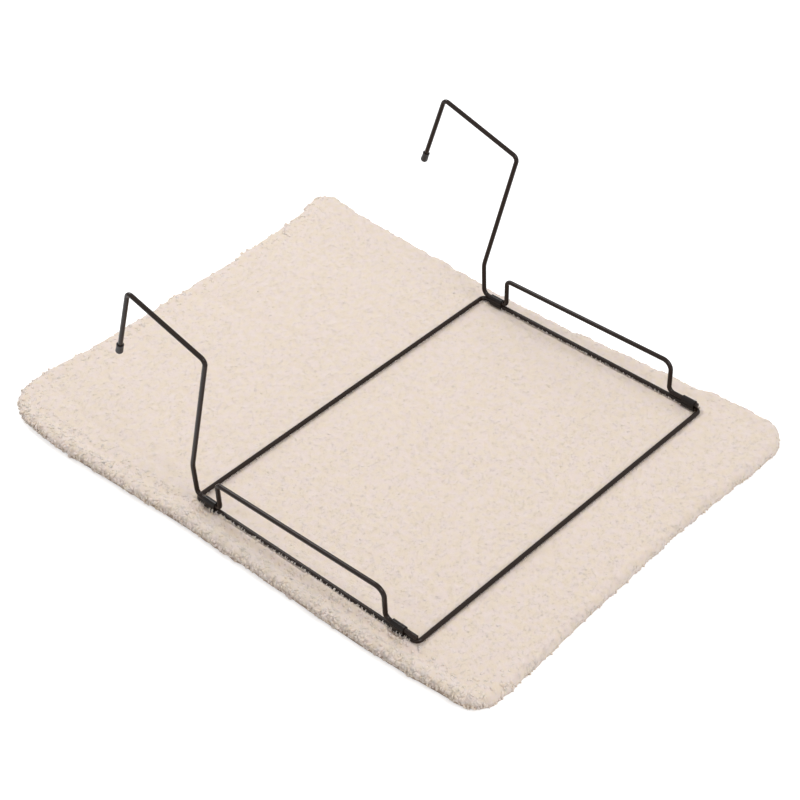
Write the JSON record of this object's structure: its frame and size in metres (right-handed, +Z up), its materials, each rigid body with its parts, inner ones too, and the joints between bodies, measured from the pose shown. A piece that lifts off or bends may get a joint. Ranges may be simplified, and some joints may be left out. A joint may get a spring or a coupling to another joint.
{
  "type": "radiator cat hammock",
  "caption": "Radiator cat hammock laid out flat: hinged wire hangers with guard rails on a wire base frame, resting on its plush cover.",
  "frame": {"origin": "on the floor, under the middle of the cover as it lies flat", "axes": "+X along the frame's long bars, +Y from the front bar to the radiator, +Z up"},
  "size_m": [0.5329, 0.6962, 0.263],
  "materials": {
    "plush": "curly lambskin plush, matt",
    "backing": "plain woven cloth",
    "tape": "woven nylon hook tape",
    "frame_coat": "satin black powder coat on steel wire",
    "hanger_coat": "satin black powder coat on steel wire",
    "sleeve_coat": "satin black coat on pressed sheet",
    "cap_vinyl": "soft matt vinyl"
  },
  "bodies": {
    "root": {"cover_plush": "plush", "cover_backing": "backing", "hook_tape": "tape"},
    "frame": {"base_frame": "frame_coat", "left_rear_sleeve": "sleeve_coat", "left_front_sleeve": "sleeve_coat", "right_rear_sleeve": "sleeve_coat", "right_front_sleeve": "sleeve_coat"},
    "left_arm": {"left_hanger": "hanger_coat", "left_hook_cap": "cap_vinyl"},
    "right_arm": {"right_hanger": "hanger_coat", "right_hook_cap": "cap_vinyl"}
  },
  "joints": [
    {"name": "frame_lift", "type": "slide", "parent": "root", "child": "frame", "axis": [0, 0, 1], "range_m": [0, 0.12]},
    {"name": "left_fold", "type": "hinge", "parent": "frame", "child": "left_arm", "pos_m": [-0.23083, 0, 0.02395], "axis": [0, 1, 0], "range_deg": [-86, 91.5]},
    {"name": "right_fold", "type": "hinge", "parent": "frame", "child": "right_arm", "pos_m": [0.22917, 0, 0.02395], "axis": [0, -1, 0], "range_deg": [-87.2, 88.3]}
  ]
}
